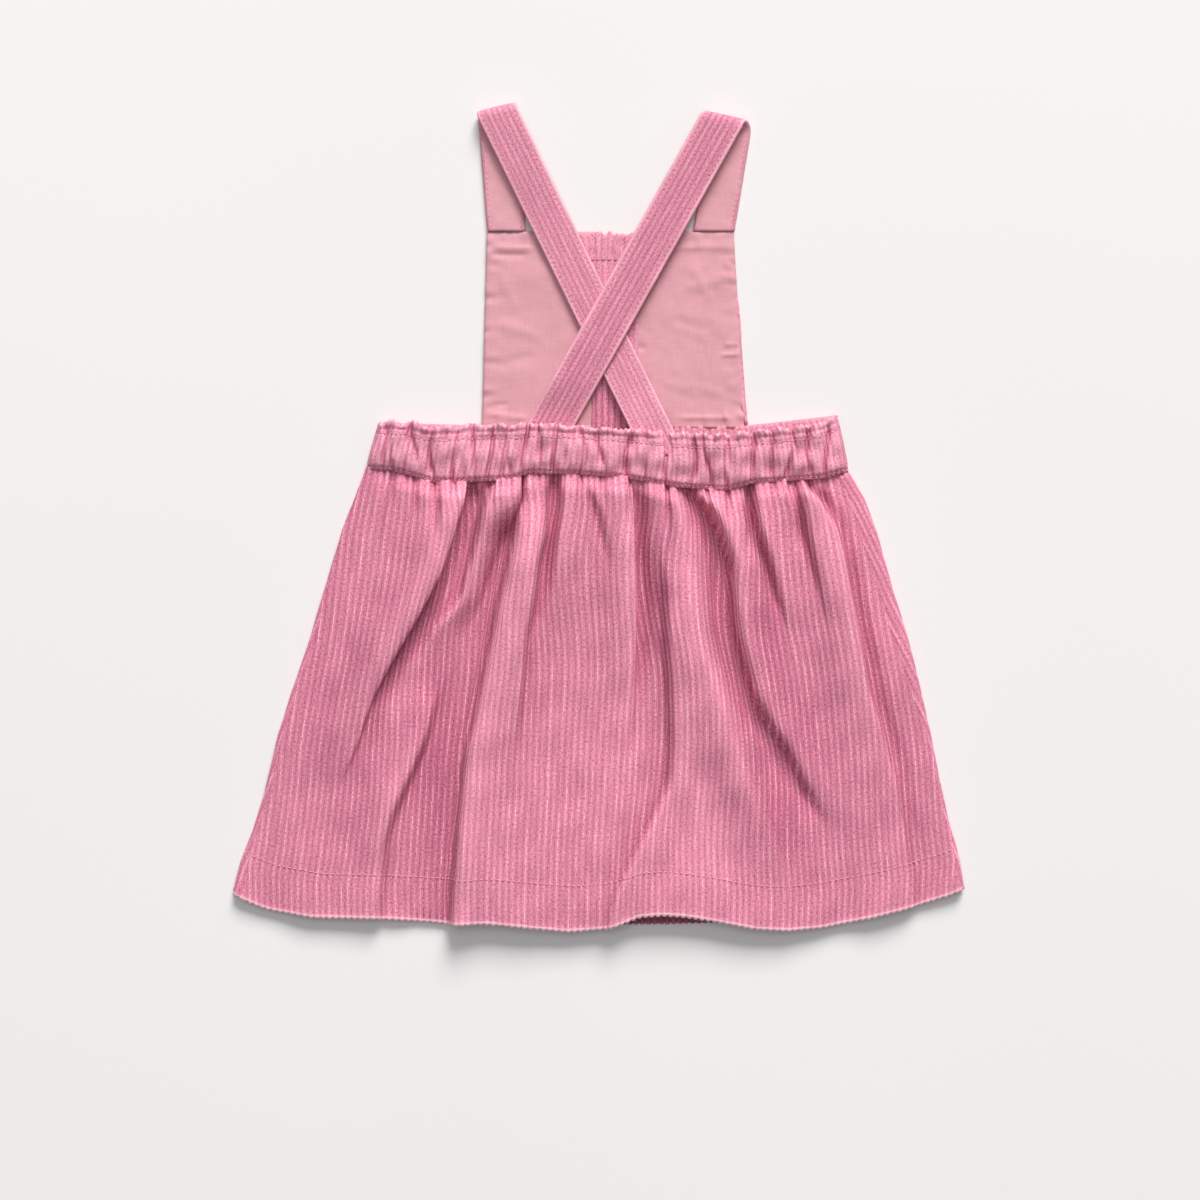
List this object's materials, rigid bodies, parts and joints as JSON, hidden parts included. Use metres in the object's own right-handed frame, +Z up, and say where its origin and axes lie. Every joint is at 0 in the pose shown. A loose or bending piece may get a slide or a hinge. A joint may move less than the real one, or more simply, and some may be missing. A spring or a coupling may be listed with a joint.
{
  "type": "pinafore dress",
  "caption": "Small child's corduroy pinafore dress laid flat with its back up: gathered skirt, elastic back waist, lined bib and crossed straps.",
  "frame": {"origin": "centre of the dress's footprint, on the surface that it lies on", "axes": "+Z up from the surface, +Y from the hem towards the shoulder straps, +X to the right with the back of the dress facing up"},
  "size_m": [0.3646, 0.413, 0.0143],
  "materials": {
    "corduroy": "wide-wale cotton corduroy, dusty rose, soft brushed pile with a nap, about eight cords to the inch",
    "cotton_lining": "plain-weave cotton, matt, a paler dusty rose, softly creased"
  },
  "bodies": {
    "root": {"skirt_front": "corduroy", "skirt_back": "corduroy", "waistband_front": "corduroy", "waistband_back": "corduroy", "bib_front": "corduroy", "bib_lining_left": "cotton_lining", "bib_lining_right": "cotton_lining", "bib_centre_facing": "corduroy", "strap_left_outer": "corduroy", "strap_left_lining": "cotton_lining", "strap_right_outer": "corduroy", "strap_right_lining": "cotton_lining"}
  },
  "joints": []
}
